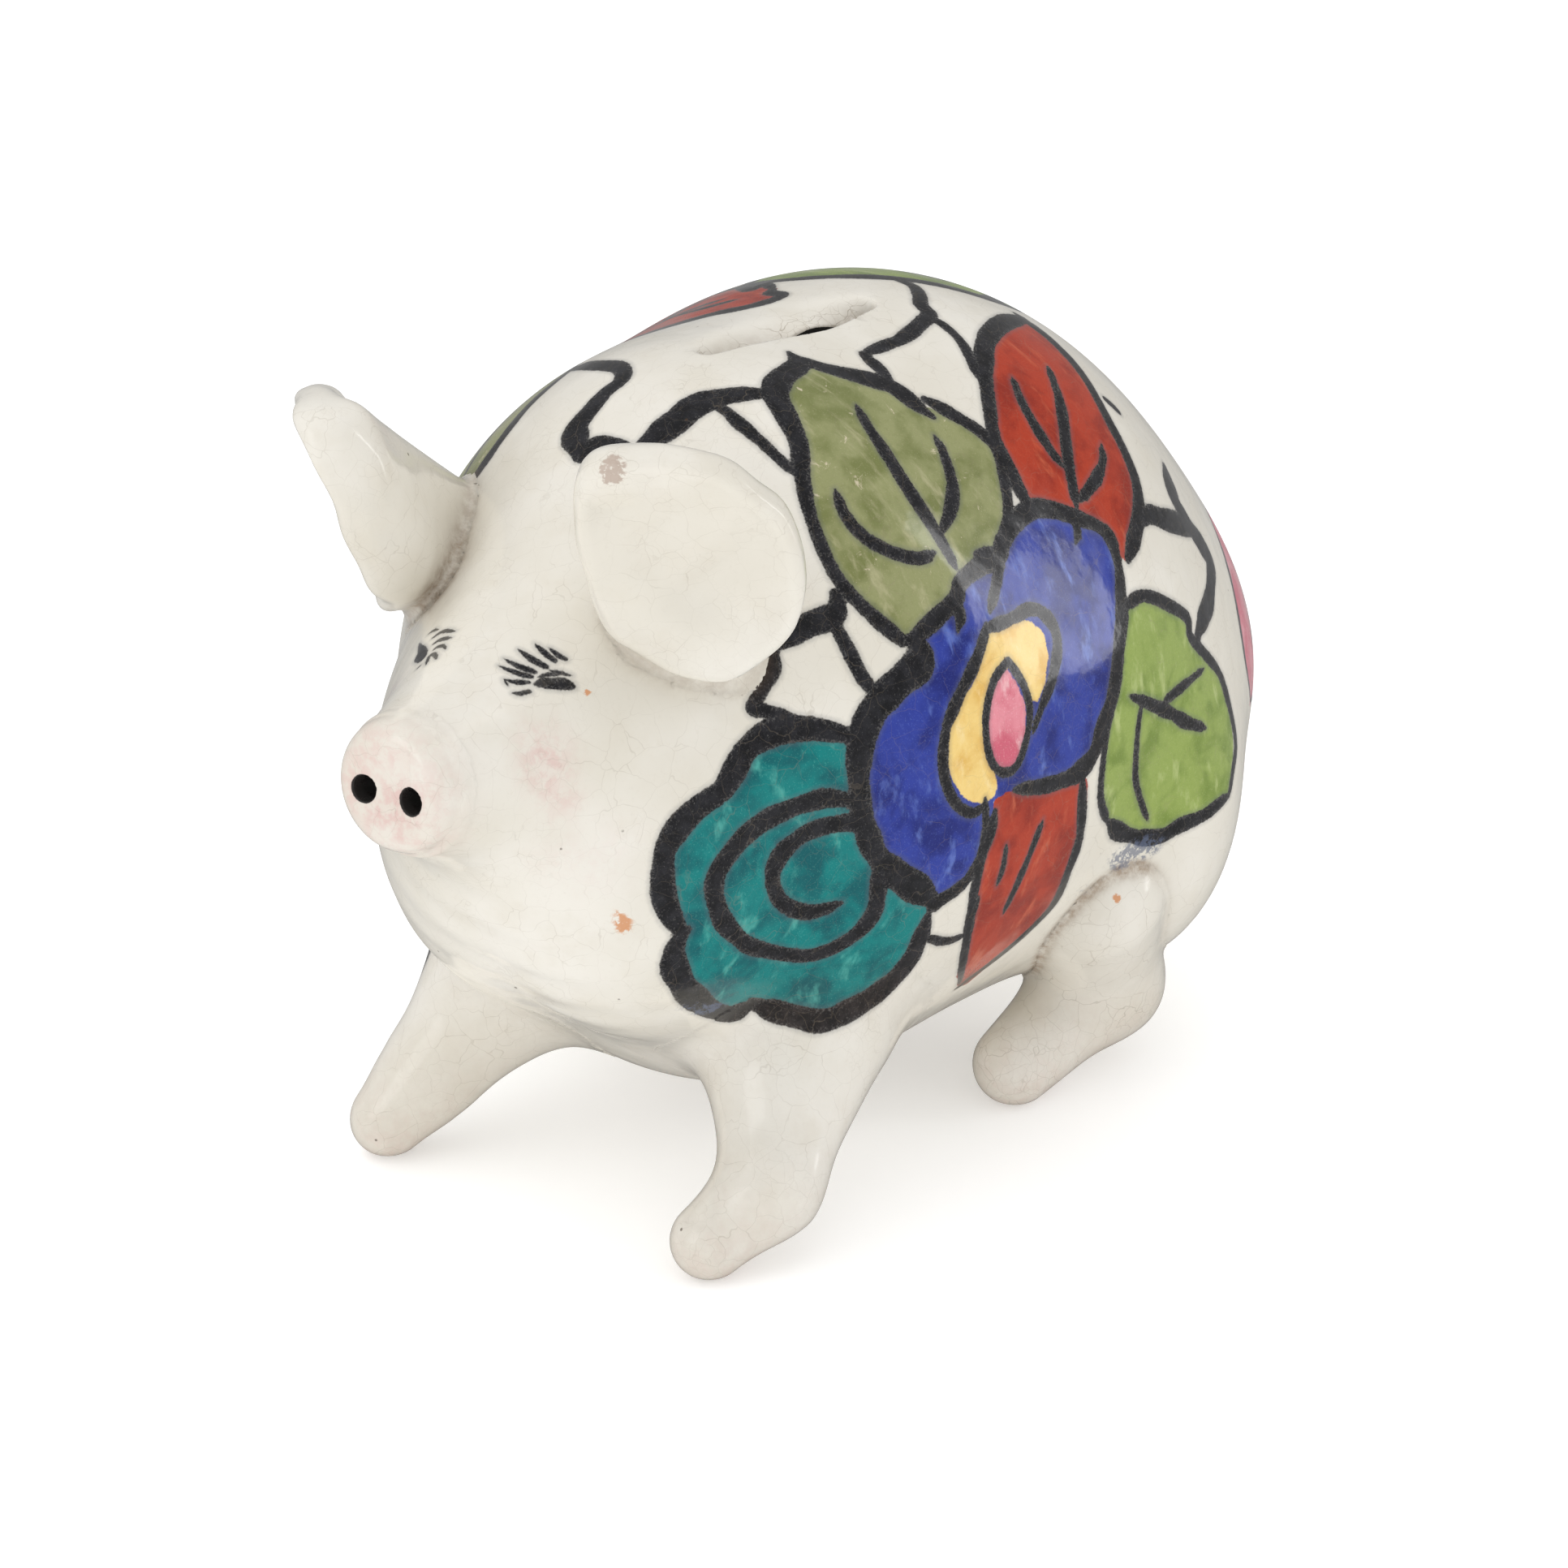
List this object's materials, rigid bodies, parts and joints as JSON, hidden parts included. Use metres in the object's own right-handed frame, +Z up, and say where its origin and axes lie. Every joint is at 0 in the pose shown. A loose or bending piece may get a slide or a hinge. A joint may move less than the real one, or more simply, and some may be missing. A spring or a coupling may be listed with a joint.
{
  "type": "piggy bank",
  "caption": "Rotund glazed pottery pig money bank on four stubby legs, with a coin slot in its back, round upright ears, a tilted disc snout and a curled tail.",
  "frame": {"origin": "on the ground under the middle of the pig's overall box, midway between its left and right sides and between the front of the snout and the back of the tail", "axes": "+Z up, +Y towards the tail with the pig facing -Y, +X towards the pig's own left side"},
  "size_m": [0.1034, 0.1646, 0.1129],
  "materials": {
    "painted_glaze": "gloss",
    "snout_glaze": "gloss",
    "cream_glaze": "gloss"
  },
  "bodies": {
    "root": {"body_shell": "painted_glaze", "snout": "snout_glaze", "left_ear": "cream_glaze", "right_ear": "cream_glaze", "left_foreleg": "cream_glaze", "right_foreleg": "cream_glaze", "left_hind_leg": "cream_glaze", "right_hind_leg": "cream_glaze", "tail": "cream_glaze"}
  },
  "joints": []
}
